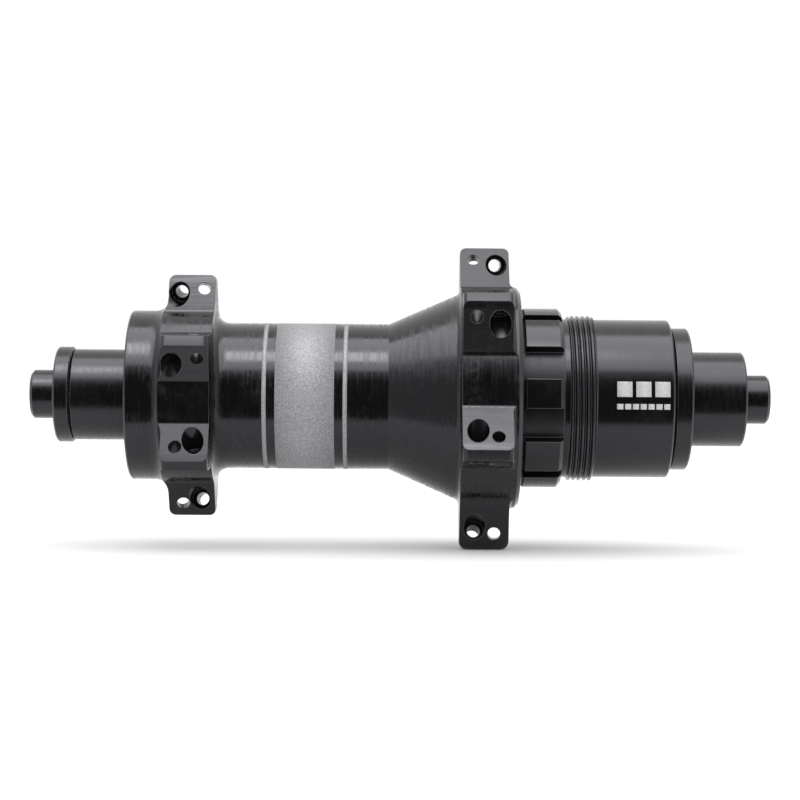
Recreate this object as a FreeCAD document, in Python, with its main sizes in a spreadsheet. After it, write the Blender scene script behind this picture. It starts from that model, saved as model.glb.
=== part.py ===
"""Rear bicycle hub: a straight-pull shell, a splined driver on a pawl ratchet, and a plug-in axle.

The axle runs along X with the driver at +X, and Z is up. The origin is on the axle, midway between the
two faces that touch the frame. Sizes are in millimetres and degrees.
"""
import FreeCAD, Part
import math
import os
import re
import Sketcher

doc = FreeCAD.newDocument("rear_hub")

# ---------------------------------------------------------------- driving sizes

SIZES = (
    # axle, end caps and spacers
    ("locknut_span", 130.0),
    ("tip_length", 5.0),
    ("tip_radius", 4.6),
    ("tip_chamfer", 0.5),
    ("skewer_bore_radius", 2.6),
    ("axle_radius", 7.5),
    ("axle_wall", 1.45),
    ("axle_shoulder_height", 1.3),
    ("axle_end_gap", 0.4),
    ("left_ring_width", 3.0),
    ("left_ring_height", 1.55),
    ("left_spacer_wall", 1.1),
    ("left_spacer_length", 11.8),
    ("right_cap_width", 10.6),
    ("right_cap_height", 1.45),
    ("plug_length", 11.0),
    ("plug_lead", 0.4),
    ("o_ring_inset", 5.0),
    ("o_ring_thickness", 1.3),
    ("dust_cover_reach", 1.45),
    ("dust_cover_width", 3.35),
    ("spacer_wall", 1.2),
    ("edge_break", 0.3),
    # fits between pieces
    ("slip_fit", 0.02),
    ("press_fit", 0.01),
    ("running_gap", 0.3),
    ("ball_play", 0.04),
    # hub bearings, 15 x 28 x 7
    ("hub_bearing_radius", 14.0),
    ("hub_bearing_width", 7.0),
    ("hub_ring_wall", 1.265),
    ("hub_ball_count", 11.0),
    ("hub_race_depth", 0.485),
    ("hub_seal_width", 0.5),
    ("hub_seal_inset", 0.25),
    ("hub_cage_gap", 0.25),
    # driver bearings, 15 x 24 x 5
    ("driver_bearing_radius", 12.0),
    ("driver_bearing_width", 5.0),
    ("driver_ring_wall", 1.06),
    ("driver_ball_count", 17.0),
    ("driver_race_depth", 0.34),
    ("driver_seal_width", 0.4),
    ("driver_seal_inset", 0.15),
    ("driver_cage_gap", 0.35),
    ("seal_seat_depth", 0.45),
    # shell
    ("left_flange_width", 8.8),
    ("left_core_wall", 2.8),
    ("left_lug_height", 6.1),
    ("left_lug_turn", 34.5),
    ("left_housing_wall", 2.05),
    ("left_housing_reach", 7.1),
    ("left_inner_flare", 2.7),
    ("left_outer_flare", 2.6),
    ("right_flange_width", 9.3),
    ("right_core_wall", 2.5),
    ("right_lug_height", 7.9),
    ("right_lug_turn", 21.0),
    ("right_rim_width", 1.8),
    ("right_rim_chamfer", 0.7),
    ("right_flare", 1.0),
    ("bearing_shoulder", 2.2),
    ("tube_wall", 2.0),
    ("cone_length", 13.5),
    ("cone_slope", 23.7),
    ("cone_flare", 1.5),
    ("bearing_lip", 0.7),
    # lugs and spoke holes
    ("lug_count", 6.0),
    ("lug_edge_round", 1.2),
    ("lug_tip_half", 1.0),
    ("lug_chamfer_depth", 1.3),
    ("lug_chamfer_half", 1.8),
    ("lug_flank_slope", 30.0),
    ("lug_base_fillet", 1.0),
    ("spoke_hole_radius", 1.2),
    ("spoke_head_radius", 2.0),
    ("spoke_head_floor", 0.6),
    ("spoke_hole_lean", 11.5),
    ("spoke_hole_spacing", 4.0),
    ("left_spoke_rise", 3.1),
    ("left_spoke_tilt", 8.0),
    ("right_spoke_rise", 4.75),
    ("right_spoke_tilt", 3.3),
    ("cutter_reach", 7.0),
    # ratchet ring and pawls
    ("ratchet_width", 8.0),
    ("ratchet_wall", 1.4),
    ("ratchet_count", 36.0),
    ("ratchet_tooth_depth", 1.2),
    ("ratchet_root_drop", 0.1),
    ("ratchet_cut_overlap", 1.0),
    ("ratchet_face_share", 0.08),
    ("ratchet_root_share", 0.26),
    ("ratchet_ramp_share", 0.86),
    ("ratchet_lead", 21.2),
    ("pawl_count", 4.0),
    ("pawl_turn", 20.0),
    ("pawl_width", 5.8),
    ("pawl_pivot_rise", 2.0),
    ("pawl_pivot_depth", 1.9),
    ("pawl_heel_radius", 1.1),
    ("pawl_heel_play", 0.05),
    ("pawl_length", 5.6),
    ("pawl_tip_top", 0.3),
    ("pawl_tip_depth", 1.35),
    ("pawl_tip_rake", 0.3),
    ("pawl_back_height", 0.1),
    ("pawl_back_reach", 3.08),
    ("pawl_back_angle", 50.0),
    ("pawl_belly_angle", 60.0),
    ("pawl_slot_width", 2.2),
    ("pawl_slot_top", 0.6),
    ("pawl_slot_start", 1.7),
    ("pawl_slot_inset", 0.7),
    ("pawl_pocket_floor", 1.9),
    ("pawl_tip_gap", 0.6),
    ("pawl_socket_wrap", 80.0),
    ("spring_thickness", 0.22),
    # seal in the shell's right mouth
    ("lip_seal_width", 2.3),
    ("lip_seal_wall", 0.9),
    ("lip_seal_inset", 0.2),
    ("lip_seal_gap", 0.2),
    # driver body
    ("driver_carrier_gap", 0.3),
    ("driver_collar_wall", 3.1),
    ("driver_bearing_shoulder", 1.2),
    ("inner_bearing_inset", 0.5),
    ("outer_bearing_inset", 0.25),
    ("spline_gap", 0.6),
    ("spline_width", 7.3),
    ("spline_radius", 17.0),
    ("spline_depth", 1.88),
    ("spline_chamfer", 0.7),
    ("spline_turn", 57.4),
    ("spline_repeats", 3.0),
    ("narrow_tooth_angle", 18.5),
    ("wide_groove_angle", 22.0),
    ("narrow_groove_angle", 8.0),
    ("neck_width", 1.2),
    ("neck_radius", 15.05),
    ("thread_width", 4.9),
    ("thread_crest_radius", 15.67),
    ("thread_depth", 0.57),
    ("thread_pitch", 1.0),
    ("thread_groove_share", 0.9),
    ("thread_overcut", 0.1),
    ("barrel_radius", 14.97),
    ("barrel_length", 14.35),
    ("bearing_washer_width", 1.9),
)

# ---------------------------------------------------------------- stations worked out from them

STATIONS = (
    # along the axle, from both frame faces inwards
    ("locknut_face", "locknut_span / 2"),
    ("left_ring_inner", "left_ring_width - locknut_face"),
    ("left_bearing_left", "left_ring_inner + left_spacer_length"),
    ("left_bearing_right", "left_bearing_left + hub_bearing_width"),
    ("shell_left", "left_bearing_left - bearing_lip"),
    ("left_flange_left", "shell_left + left_housing_reach"),
    ("left_flange_right", "left_flange_left + left_flange_width"),
    ("left_flange_middle", "left_flange_left + left_flange_width / 2"),
    ("right_cap_inner", "locknut_face - right_cap_width"),
    ("dust_cover_left", "right_cap_inner - dust_cover_width"),
    ("driver_right", "dust_cover_left - running_gap"),
    ("outer_bearing_right", "driver_right - outer_bearing_inset"),
    ("outer_bearing_left", "outer_bearing_right - driver_bearing_width"),
    ("thread_right", "driver_right - barrel_length"),
    ("thread_left", "thread_right - thread_width"),
    ("spline_right", "thread_left - neck_width"),
    ("spline_left", "spline_right - spline_width"),
    ("shell_right", "spline_left - spline_gap"),
    ("right_flange_right", "shell_right - right_rim_width"),
    ("right_flange_left", "right_flange_right - right_flange_width"),
    ("right_flange_middle", "right_flange_left + right_flange_width / 2"),
    ("cone_left", "right_flange_left - cone_length"),
    ("lip_seal_left", "shell_right - lip_seal_inset - lip_seal_width"),
    ("ratchet_right", "lip_seal_left - lip_seal_gap"),
    ("ratchet_left", "ratchet_right - ratchet_width"),
    ("carrier_left", "ratchet_left + running_gap"),
    ("carrier_right", "ratchet_right + running_gap"),
    ("pawl_left", "(carrier_left + carrier_right - pawl_width) / 2"),
    ("inner_bearing_left", "carrier_left + inner_bearing_inset"),
    ("inner_bearing_right", "inner_bearing_left + driver_bearing_width"),
    ("right_bearing_right", "inner_bearing_left - bearing_washer_width"),
    ("right_bearing_left", "right_bearing_right - hub_bearing_width"),
    # radii, from the axle and the bearings outwards
    ("axle_bore_radius", "axle_radius - axle_wall"),
    ("axle_shoulder_radius", "axle_radius + axle_shoulder_height"),
    ("left_ring_radius", "axle_radius + left_ring_height"),
    ("left_spacer_radius", "axle_radius + left_spacer_wall"),
    ("right_cap_radius", "axle_radius + right_cap_height"),
    ("spacer_radius", "axle_radius + spacer_wall"),
    ("dust_cover_radius", "driver_bearing_radius + dust_cover_reach"),
    ("hub_pitch_radius", "(axle_radius + hub_bearing_radius) / 2"),
    ("hub_ball_radius", "hub_bearing_radius - hub_pitch_radius - hub_ring_wall"),
    ("hub_land", "hub_ball_radius - hub_race_depth"),
    ("driver_pitch_radius", "(axle_radius + driver_bearing_radius) / 2"),
    ("driver_ball_radius", "driver_bearing_radius - driver_pitch_radius - driver_ring_wall"),
    ("driver_land", "driver_ball_radius - driver_race_depth"),
    ("driver_bore_radius", "driver_bearing_radius - driver_bearing_shoulder"),
    ("driver_collar_radius", "driver_bearing_radius + driver_collar_wall"),
    ("spline_groove_radius", "spline_radius - spline_depth"),
    ("thread_root_radius", "thread_crest_radius - thread_depth"),
    ("pawl_pivot_radius", "driver_bearing_radius + pawl_pivot_rise"),
    ("pawl_socket_radius", "pawl_heel_radius + pawl_heel_play"),
    ("ratchet_tip_radius", "pawl_pivot_radius + pawl_pivot_depth"),
    ("ratchet_root_radius", "ratchet_tip_radius + ratchet_tooth_depth"),
    ("ratchet_radius", "ratchet_root_radius + ratchet_wall"),
    ("carrier_radius", "ratchet_tip_radius - driver_carrier_gap"),
    ("cavity_radius", "hub_bearing_radius - bearing_shoulder"),
    ("tube_radius", "cavity_radius + tube_wall"),
    ("left_housing_radius", "hub_bearing_radius + left_housing_wall"),
    ("left_core_radius", "hub_bearing_radius + left_core_wall"),
    ("left_lug_radius", "left_core_radius + left_lug_height"),
    ("left_spoke_radius", "left_core_radius + left_spoke_rise"),
    ("right_core_radius", "ratchet_radius + right_core_wall"),
    ("right_lug_radius", "right_core_radius + right_lug_height"),
    ("right_spoke_radius", "right_core_radius + right_spoke_rise"),
    # the pawls' pockets and the lugs' flanks
    ("pawl_pocket_length", "pawl_length + pawl_tip_gap"),
    ("pawl_slot_end", "pawl_length - pawl_slot_inset"),
    ("flank_normal", "lug_flank_slope + 180 / lug_count"),
    ("left_flank_reach", "sin(lug_flank_slope * 1deg) * (left_lug_radius - lug_chamfer_depth)"
                         " + cos(lug_flank_slope * 1deg) * lug_chamfer_half"),
    ("right_flank_reach", "sin(lug_flank_slope * 1deg) * (right_lug_radius - lug_chamfer_depth)"
                          " + cos(lug_flank_slope * 1deg) * lug_chamfer_half"),
    ("left_floor_angle", "(180 / lug_count - 90 + lug_flank_slope) * 1deg + acos((left_flank_reach"
                         " + lug_base_fillet) / (left_core_radius + lug_base_fillet))"),
    ("right_floor_angle", "(180 / lug_count - 90 + lug_flank_slope) * 1deg + acos((right_flank_reach"
                          " + lug_base_fillet) / (right_core_radius + lug_base_fillet))"),
)

HOME = {}


def qualified(text):
    """The expression with the sheet's name in front of each known size."""
    return re.sub(r"[a-z][a-z_]*", lambda word: HOME.get(word.group(), "") + word.group(), text)


def fill_sheet(name, rows):
    """A sheet with one aliased cell for each (alias, number or formula) pair."""
    sheet = doc.addObject("Spreadsheet::Sheet", name)
    for number, (alias, content) in enumerate(rows, start=1):
        sheet.set(f"A{number}", alias)
        sheet.set(f"B{number}", str(content) if isinstance(content, float) else "=" + qualified(content))
        sheet.setAlias(f"B{number}", alias)
        HOME[alias] = name + "."
    doc.recompute()
    return sheet


sizes = fill_sheet("Sizes", SIZES)
fill_sheet("Stations", STATIONS)


def value(expression):
    """The number that an expression of the sheet's sizes gives now."""
    result = sizes.evalExpression(qualified(expression))
    return float(getattr(result, "Value", result))


def bind(target, path, expression):
    """Tie one property of an object to the sheet."""
    target.setExpression(path, qualified(expression))


# ---------------------------------------------------------------- sketches and features

ROUND = "round"
CHAMFER = "chamfer"


def origin_item(body, role):
    """One of the body's own origin planes or axes."""
    return [item for item in body.Origin.OriginFeatures if item.Role == role][0]


def new_body(label, station="0", turn=None):
    """An empty body that stands at a station along the axle, turned about it if asked."""
    body = doc.addObject("PartDesign::Body", label)
    body.Label = label
    bind(body, "Placement.Base.x", station)
    if turn:
        body.Placement.Rotation = FreeCAD.Rotation(FreeCAD.Vector(1, 0, 0), 1)
        bind(body, "Placement.Rotation.Angle", turn)
    return body


def new_sketch(body, name, role, station=None, turn=None):
    """A sketch on one of the body's origin planes, shifted along and turned about its normal."""
    sketch = body.newObject("Sketcher::SketchObject", name)
    sketch.AttachmentSupport = [(origin_item(body, role), "")]
    sketch.MapMode = "FlatFace"
    if station:
        bind(sketch, "AttachmentOffset.Base.z", station)
    if turn:
        sketch.AttachmentOffset.Rotation = FreeCAD.Rotation(FreeCAD.Vector(0, 0, 1), 1)
        bind(sketch, "AttachmentOffset.Rotation.Angle", turn)
    return sketch


def toward(start, end):
    """The signs of the axis-aligned step from one corner to another."""
    step_x = value(end[0]) - value(start[0])
    step_y = value(end[1]) - value(start[1])
    if abs(step_x) > abs(step_y):
        return (int(math.copysign(1, step_x)), 0)
    return (0, int(math.copysign(1, step_y)))


def shifted(corner, step, size):
    """The corner's expressions, moved by a size along an axis-aligned step."""
    words = {1: " + (" + size + ")", -1: " - (" + size + ")", 0: ""}
    return (corner[0] + words[step[0]], corner[1] + words[step[1]])


def softened(corners):
    """Points and arcs of an outline whose corners may carry a round or a chamfer.

    Each entry is (x, y, radius or None, side): the edge from this point to the next one is an arc of
    that radius when one is given, with its centre on the left (1) or right (-1) of the way along it.
    """
    points = []
    for number, corner in enumerate(corners):
        if len(corner) == 2 or corner[2] not in (ROUND, CHAMFER):
            points.append(tuple(corner) + (None, 0) if len(corner) == 2 else tuple(corner))
            continue
        back = toward(corner, corners[number - 1])
        ahead = toward(corner, corners[(number + 1) % len(corners)])
        left_turn = ahead[0] * back[1] - ahead[1] * back[0]
        radius = corner[3] if corner[2] == ROUND else None
        points.append(shifted(corner, back, corner[3]) + (radius, int(math.copysign(1, left_turn))))
        points.append(shifted(corner, ahead, corner[3]) + (None, 0))
    return points


def arc_between(start, end, radius, side):
    """The short arc from start to end, and whether the sketcher's own sense runs the other way."""
    middle = (start + end) * 0.5
    chord = end - start
    rise = math.sqrt(max(radius ** 2 - chord.Length ** 2 / 4, 0))
    normal = FreeCAD.Vector(-chord.y, chord.x, 0).normalize()
    centre = middle + normal * (rise * side)
    first, last = (start, end) if side > 0 else (end, start)
    angles = [math.atan2(spot.y - centre.y, spot.x - centre.x) for spot in (first, last)]
    circle = Part.Circle(centre, FreeCAD.Vector(0, 0, 1), radius)
    return Part.ArcOfCircle(circle, angles[0], angles[1]), side < 0


def outline(sketch, corners):
    """A closed outline in the sketch, with each point and radius bound to the sheet."""
    points = softened(corners)
    places = [FreeCAD.Vector(value(point[0]), value(point[1]), 0) for point in points]
    starts = []
    ends = []
    first = sketch.GeometryCount
    for number, point in enumerate(points):
        start = places[number]
        end = places[(number + 1) % len(points)]
        edge, swapped = Part.LineSegment(start, end), False
        if point[2]:
            edge, swapped = arc_between(start, end, value(point[2]), point[3])
        index = sketch.addGeometry(edge, False)
        starts.append((index, 2 if swapped else 1))
        ends.append((index, 1 if swapped else 2))
    for number, point in enumerate(points):
        last = ends[number - 1]
        here = starts[number]
        sketch.addConstraint(Sketcher.Constraint("Coincident", last[0], last[1], here[0], here[1]))
        for kind, expression in (("DistanceX", point[0]), ("DistanceY", point[1])):
            rule = Sketcher.Constraint(kind, -1, 1, here[0], here[1], value(expression))
            bind(sketch, f"Constraints[{sketch.addConstraint(rule)}]", expression)
        if point[2]:
            rule = Sketcher.Constraint("Radius", first + number, value(point[2]))
            bind(sketch, f"Constraints[{sketch.addConstraint(rule)}]", point[2])
    return sketch


def circle_in(sketch, across, up, radius):
    """A circle in the sketch, bound to the sheet."""
    place = FreeCAD.Vector(value(across), value(up), 0)
    index = sketch.addGeometry(Part.Circle(place, FreeCAD.Vector(0, 0, 1), value(radius)), False)
    for kind, expression in (("DistanceX", across), ("DistanceY", up)):
        rule = Sketcher.Constraint(kind, -1, 1, index, 3, value(expression))
        bind(sketch, f"Constraints[{sketch.addConstraint(rule)}]", expression)
    rule = Sketcher.Constraint("Radius", index, value(radius))
    bind(sketch, f"Constraints[{sketch.addConstraint(rule)}]", radius)
    return sketch


def revolved(body, name, corners, kind="PartDesign::Revolution"):
    """The body turned from an outline of (station, radius) corners."""
    sketch = outline(new_sketch(body, name + "_profile", "XZ_Plane"), corners)
    feature = body.newObject(kind, name)
    feature.Profile = sketch
    feature.ReferenceAxis = (sketch, ["H_Axis"])
    feature.Angle = 360
    return feature


def pocketed(body, name, sketch, length, reverse=True):
    """A pocket that cuts along the sketch's normal, away from its plane."""
    feature = body.newObject("PartDesign::Pocket", name)
    feature.Profile = sketch
    feature.Reversed = reverse
    bind(feature, "Length", length)
    return feature


def padded(body, name, sketch, length):
    """A pad along the sketch's normal."""
    feature = body.newObject("PartDesign::Pad", name)
    feature.Profile = sketch
    bind(feature, "Length", length)
    return feature


def around_axle(body, name, feature, count):
    """The feature repeated evenly around the axle."""
    pattern = body.newObject("PartDesign::PolarPattern", name)
    pattern.Originals = [feature]
    pattern.Axis = (origin_item(body, "X_Axis"), [""])
    pattern.Angle = 360
    bind(pattern, "Occurrences", count)
    body.Tip = pattern
    return pattern


def polar(radius, turn):
    """The expressions of a sketch point at a radius and at an angle in degrees."""
    return (f"({radius}) * cos(({turn}) * 1deg)", f"({radius}) * sin(({turn}) * 1deg)")


def turned(label, station, corners):
    """A plain turned piece in a body of its own."""
    body = new_body(label, station)
    revolved(body, "turning", corners)
    return body


def tube(label, station, length, radius, bore):
    """A spacer tube with broken edges."""
    return turned(label, station, (
        ("0", bore),
        (length, bore),
        (length, radius, CHAMFER, "edge_break"),
        ("0", radius, CHAMFER, "edge_break")))


# ---------------------------------------------------------------- bearings


def bearing(name, station, kind):
    """One sealed ball bearing in five pieces; its left face is at the station."""
    middle = f"{kind}_bearing_width / 2"
    width = f"{kind}_bearing_width"
    race = f"{kind}_ball_radius + ball_play"
    inner_land = f"{kind}_pitch_radius - {kind}_land"
    outer_land = f"{kind}_pitch_radius + {kind}_land"
    half_mouth = f"sqrt(pow({race}; 2) - pow({kind}_land; 2))"
    seal_end = f"({kind}_seal_inset + {kind}_seal_width)"
    seat = f"{outer_land} + seal_seat_depth"

    turned(f"{name}_inner_ring", station, (
        ("0", "axle_radius + press_fit", CHAMFER, "edge_break"),
        (width, "axle_radius + press_fit", CHAMFER, "edge_break"),
        (width, inner_land),
        (f"{middle} + {half_mouth}", inner_land, race, -1),
        (f"{middle} - {half_mouth}", inner_land),
        ("0", inner_land)))

    turned(f"{name}_outer_ring", station, (
        ("0", f"{kind}_bearing_radius", CHAMFER, "edge_break"),
        ("0", seat),
        (seal_end, seat),
        (seal_end, outer_land),
        (f"{middle} - {half_mouth}", outer_land, race, -1),
        (f"{middle} + {half_mouth}", outer_land),
        (f"{width} - {seal_end}", outer_land),
        (f"{width} - {seal_end}", seat),
        (width, seat),
        (width, f"{kind}_bearing_radius", CHAMFER, "edge_break")))

    balls = new_body(f"{name}_balls", station)
    balls.AllowCompound = True
    ball = balls.newObject("PartDesign::AdditiveSphere", "ball")
    bind(ball, "Radius", f"{kind}_ball_radius")
    bind(ball, "Placement.Base.x", middle)
    bind(ball, "Placement.Base.z", f"{kind}_pitch_radius")
    around_axle(balls, "ball_set", ball, f"{kind}_ball_count")

    cage = new_body(f"{name}_cage", station)
    cage_left = f"{seal_end} + {kind}_cage_gap"
    cage_right = f"{width} - {seal_end} - {kind}_cage_gap"
    revolved(cage, "cage_ring", (
        (cage_left, f"{inner_land} + running_gap"),
        (cage_right, f"{inner_land} + running_gap"),
        (cage_right, f"{outer_land} - running_gap"),
        (cage_left, f"{outer_land} - running_gap")))
    pocket_sketch = circle_in(new_sketch(cage, "pocket_circle", "XY_Plane"), middle, "0", race)
    pocket = pocketed(cage, "ball_pocket", pocket_sketch, f"{kind}_bearing_radius")
    around_axle(cage, "ball_pockets", pocket, f"{kind}_ball_count")

    for side, left in (("left", f"{kind}_seal_inset"), ("right", f"{width} - {seal_end}")):
        turned(f"{name}_{side}_seal", f"{station} + {left}", (
            ("0", f"{inner_land} + running_gap"),
            (f"{kind}_seal_width", f"{inner_land} + running_gap"),
            (f"{kind}_seal_width", f"{seat} - press_fit"),
            ("0", f"{seat} - press_fit")))


# ---------------------------------------------------------------- axle, caps and spacers


def end_cap(label, side, ring_width, ring_radius):
    """An end cap drawn from its frame face outwards: tip at +x, plug at -x, mirrored on the left."""
    body = new_body(label, "locknut_face" if side > 0 else "-locknut_face")
    if side < 0:
        body.Placement.Rotation = FreeCAD.Rotation(FreeCAD.Vector(0, 0, 1), 180)
    plug_end = f"-{ring_width} - plug_length"
    groove_right = f"-{ring_width} - o_ring_inset"
    groove_left = f"{groove_right} - o_ring_thickness - 2 * slip_fit"
    plug_radius = "axle_bore_radius - slip_fit"
    groove_floor = f"{plug_radius} - slip_fit - o_ring_thickness - slip_fit"
    revolved(body, "turning", (
        (plug_end, "skewer_bore_radius"),
        ("tip_length", "skewer_bore_radius", CHAMFER, "edge_break"),
        ("tip_length", "tip_radius", CHAMFER, "tip_chamfer"),
        ("0", "tip_radius"),
        ("0", ring_radius, CHAMFER, "edge_break"),
        (f"-{ring_width}", ring_radius, CHAMFER, "edge_break"),
        (f"-{ring_width}", plug_radius),
        (groove_right, plug_radius),
        (groove_right, groove_floor),
        (groove_left, groove_floor),
        (groove_left, plug_radius),
        (plug_end, plug_radius, CHAMFER, "plug_lead")))
    return body


def axle_pieces():
    """The axle tube and everything that is clamped on it."""
    turned("axle_tube", "0", (
        ("left_ring_inner + axle_end_gap", "axle_bore_radius", CHAMFER, "edge_break"),
        ("right_cap_inner - axle_end_gap", "axle_bore_radius", CHAMFER, "edge_break"),
        ("right_cap_inner - axle_end_gap", "axle_radius", CHAMFER, "edge_break"),
        ("right_bearing_left", "axle_radius"),
        ("right_bearing_left", "axle_shoulder_radius", CHAMFER, "edge_break"),
        ("left_bearing_right", "axle_shoulder_radius", CHAMFER, "edge_break"),
        ("left_bearing_right", "axle_radius"),
        ("left_ring_inner + axle_end_gap", "axle_radius", CHAMFER, "edge_break")))
    end_cap("left_end_cap", -1, "left_ring_width", "left_ring_radius")
    end_cap("right_end_cap", 1, "right_cap_width", "right_cap_radius")
    spacer_bore = "axle_radius + press_fit"
    tube("left_axle_spacer", "left_ring_inner", "left_spacer_length", "left_spacer_radius", spacer_bore)
    tube("bearing_washer", "right_bearing_right", "bearing_washer_width", "spacer_radius", spacer_bore)
    tube("driver_spacer_tube", "inner_bearing_right", "outer_bearing_left - inner_bearing_right",
         "spacer_radius", spacer_bore)
    cover_left = "dust_cover_left - outer_bearing_right"
    cover_right = "right_cap_inner - outer_bearing_right"
    turned("driver_dust_cover", "outer_bearing_right", (
        ("0", spacer_bore),
        (cover_right, spacer_bore),
        (cover_right, "dust_cover_radius", CHAMFER, "edge_break"),
        (cover_left, "dust_cover_radius", CHAMFER, "edge_break"),
        (cover_left, "spacer_radius"),
        ("0", "spacer_radius")))


def o_rings():
    """The two rubber rings that hold the end caps in the axle's bore."""
    rings = []
    inset = "o_ring_inset + slip_fit + o_ring_thickness / 2"
    for side, station in (("left", f"left_ring_inner + {inset}"), ("right", f"right_cap_inner - ({inset})")):
        ring = doc.addObject("Part::Torus", f"{side}_o_ring")
        ring.Placement.Rotation = FreeCAD.Rotation(FreeCAD.Vector(0, 1, 0), 90)
        bind(ring, "Placement.Base.x", station)
        bind(ring, "Radius1", "axle_bore_radius - 2 * slip_fit - o_ring_thickness / 2")
        bind(ring, "Radius2", "o_ring_thickness / 2")
        rings.append(ring)
    pair = doc.addObject("Part::Compound", "end_cap_o_rings")
    pair.Links = rings


# ---------------------------------------------------------------- shell


def lug_point(side, along, across, sign):
    """A point of a lug's outline, seen from the middle of the valley beside it."""
    half = "(180 / lug_count * 1deg)"
    return (f"({along}) * cos{half} + ({across}) * sin{half}",
            f"{sign} * (({along}) * sin{half} - ({across}) * cos{half})")


def valley_corners(side):
    """The gap between two lugs: a round floor, two filleted flanks and the lugs' tip chamfers."""
    core = f"{side}_core_radius"
    tip = f"{side}_lug_radius"
    floor = f"{side}_floor_angle"
    upper = []
    upper.append((f"{core} * cos({floor})", f"{core} * sin({floor})", "lug_base_fillet", -1))
    upper.append((f"({core} + lug_base_fillet) * cos({floor}) - lug_base_fillet * sin(flank_normal * 1deg)",
                  f"({core} + lug_base_fillet) * sin({floor}) + lug_base_fillet * cos(flank_normal * 1deg)"))
    upper.append(lug_point(side, f"{tip} - lug_chamfer_depth", "lug_chamfer_half", 1))
    upper.append(lug_point(side, f"{tip} + lug_chamfer_depth / 2",
                           "1.5 * lug_tip_half - lug_chamfer_half / 2", 1))
    lower = [(point[0], f"-({point[1]})") for point in reversed(upper)]
    lower[-2] = lower[-2] + ("lug_base_fillet", -1)
    lower[-1] = lower[-1] + (core, 1)
    return upper + [(f"2 * {tip}", "0")] + lower


def spoke_hole(body, side, number, station, sense):
    """One straight-pull hole across a lug: the spoke's hole and the wider seat of its head.

    The sense is 1 where the spoke runs with the turning angle and -1 where it runs against it. The hole
    leans outwards and towards the hub's middle along the spoke's way.
    """
    tilt = f"{side}_spoke_tilt" if side == "left" else f"-{side}_spoke_tilt"
    place = (f"placement(vector(0; 0; 0); rotation(0; 0; {side}_lug_turn))"
             f" * placement(vector({station}; {side}_spoke_radius; 0);"
             f" rotation(vector(1; 0; 0); {-sense} * spoke_hole_lean))"
             f" * placement(vector(0; 0; 0); rotation(vector(0; 1; 0);"
             f" {90 - 90 * sense} + {sense} * ({tilt})))")
    for name, radius, start, length in (
            ("hole", "spoke_hole_radius", "-cutter_reach", "2 * cutter_reach"),
            ("seat", "spoke_head_radius", "-cutter_reach - spoke_head_floor", "cutter_reach")):
        cutter = body.newObject("PartDesign::SubtractiveCylinder", f"{side}_{name}_{number}")
        bind(cutter, "Radius", radius)
        bind(cutter, "Height", length)
        bind(cutter, "Placement", f"{place} * placement(vector(0; 0; {start}); rotation(0; 0; 0))")
        around_axle(body, f"{side}_{name}s_{number}", cutter, "lug_count")


def hub_shell():
    """The shell: both flanges, the tube, the cone, the bearing seats and the ratchet's bore."""
    body = new_body("hub_shell")
    cone_rise = "tan(cone_slope * 1deg)"
    corner_radius = f"tube_radius + cone_length * {cone_rise}"
    flare_reach = "cone_flare * tan((90 - cone_slope) / 2 * 1deg)"
    seat = "hub_bearing_radius + press_fit"
    revolved(body, "turning", (
        ("shell_left", seat, CHAMFER, "edge_break"),
        ("shell_left", "left_housing_radius", CHAMFER, "edge_break"),
        ("left_flange_left", "left_housing_radius", ROUND, "left_outer_flare"),
        ("left_flange_left", "left_lug_radius", ROUND, "lug_edge_round"),
        ("left_flange_right", "left_lug_radius", ROUND, "lug_edge_round"),
        ("left_flange_right", "tube_radius", ROUND, "left_inner_flare"),
        ("cone_left", "tube_radius"),
        (f"right_flange_left - {flare_reach} * cos(cone_slope * 1deg)",
         f"{corner_radius} - {flare_reach} * sin(cone_slope * 1deg)", "cone_flare", 1),
        ("right_flange_left", f"{corner_radius} + {flare_reach}"),
        ("right_flange_left", "right_lug_radius", ROUND, "lug_edge_round"),
        ("right_flange_right", "right_lug_radius", ROUND, "lug_edge_round"),
        ("right_flange_right", "right_core_radius", ROUND, "right_flare"),
        ("shell_right", "right_core_radius", CHAMFER, "right_rim_chamfer"),
        ("shell_right", "ratchet_radius + press_fit", CHAMFER, "edge_break"),
        ("ratchet_left", "ratchet_radius + press_fit"),
        ("ratchet_left", seat),
        ("right_bearing_left", seat),
        ("right_bearing_left", "cavity_radius"),
        ("left_bearing_right", "cavity_radius"),
        ("left_bearing_right", seat)))
    for side in ("left", "right"):
        sketch = new_sketch(body, f"{side}_valley_profile", "YZ_Plane", f"{side}_flange_left - cutter_reach",
                            f"{side}_lug_turn + 180 / lug_count")
        outline(sketch, valley_corners(side))
        valley = pocketed(body, f"{side}_valley", sketch, f"{side}_flange_width + 2 * cutter_reach")
        around_axle(body, f"{side}_valleys", valley, "lug_count")
    for side, middle, sense in (("left", "left_flange_middle", 1), ("right", "right_flange_middle", -1)):
        spoke_hole(body, side, 1, f"{middle} - spoke_hole_spacing / 2", -sense)
        spoke_hole(body, side, 2, f"{middle} + spoke_hole_spacing / 2", sense)


# ---------------------------------------------------------------- ratchet, pawls and seal


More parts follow.
